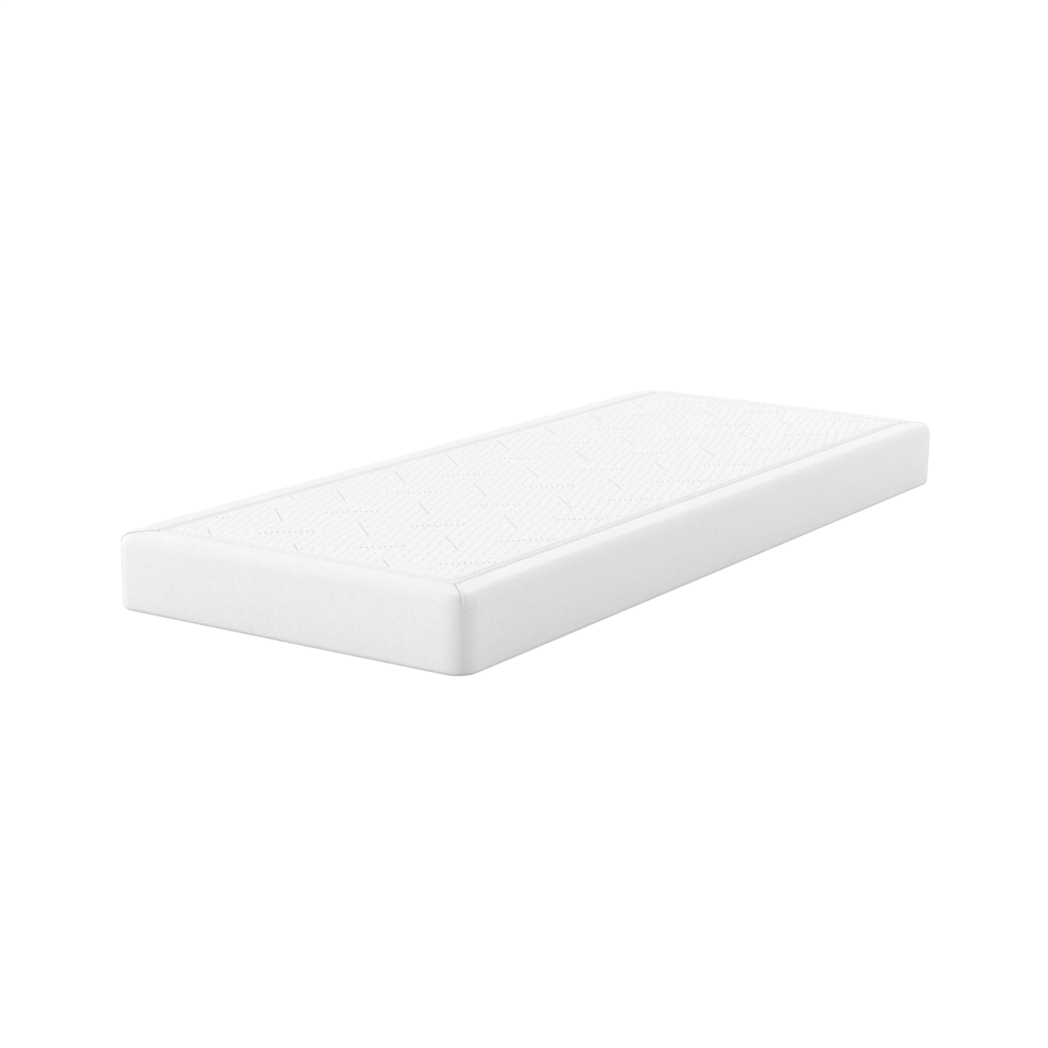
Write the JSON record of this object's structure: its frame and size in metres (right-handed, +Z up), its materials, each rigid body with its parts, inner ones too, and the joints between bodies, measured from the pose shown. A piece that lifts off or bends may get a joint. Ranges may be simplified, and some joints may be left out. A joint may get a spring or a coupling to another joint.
{
  "type": "memory foam mattress",
  "caption": "Single-size memory foam mattress: foam core in a knitted sleeve inside a zipped cover with an inset patterned knit top panel, plain mitred border and non-slip underside.",
  "frame": {"origin": "centre of the underside, on the surface that the mattress lies on", "axes": "+X along the mattress from the foot end to the head end, +Y across it towards the side with the zip, +Z up through the sleeping surface"},
  "size_m": [2, 0.8, 0.15],
  "materials": {
    "face_knit": "matte",
    "border_fabric": "matte",
    "wadding": "matte",
    "backing": "matte",
    "memory_foam": "matte",
    "base_foam": "matte",
    "sleeve_knit": "matte",
    "underside_fabric": "matte",
    "seam_thread": "satin",
    "zip_tape": "matte",
    "zip_coil": "satin",
    "zip_metal": "satin",
    "label_fabric": "satin"
  },
  "bodies": {
    "mattress": {"memory_foam_layer": "memory_foam", "base_foam_core": "base_foam", "inner_sleeve": "sleeve_knit", "top_panel_fabric": "face_knit", "top_panel_wadding": "wadding", "top_panel_backing": "backing", "top_seam_piping": "border_fabric", "side_panel_foot": "border_fabric", "side_panel_head": "border_fabric", "side_panel_front": "border_fabric", "side_panel_rear_upper": "border_fabric", "side_panel_rear_lower": "border_fabric", "corner_seam_foot_front": "seam_thread", "corner_seam_foot_rear": "seam_thread", "corner_seam_head_front": "seam_thread", "corner_seam_head_rear": "seam_thread", "bottom_panel": "underside_fabric", "bottom_seam_tape": "seam_thread", "zip_tape_lower": "zip_tape", "zip_tape_upper": "zip_tape", "zip_coil_lower": "zip_coil", "zip_coil_upper": "zip_coil", "zip_top_stop_lower": "zip_metal", "zip_top_stop_upper": "zip_metal", "zip_bottom_stop": "zip_metal", "care_label": "label_fabric"},
    "zip_slider": {"zip_slider": "zip_metal"},
    "zip_pull": {"zip_pull_tab": "zip_metal"}
  },
  "joints": [
    {"name": "zip_slide", "type": "slide", "parent": "mattress", "child": "zip_slider", "axis": [-1, 0, 0], "range_m": [0, 1.815]},
    {"name": "zip_pull_pivot", "type": "hinge", "parent": "zip_slider", "child": "zip_pull", "pos_m": [0.909, 0.3985, 0.033], "axis": [0, 0, -1], "range_deg": [0, 175]}
  ]
}
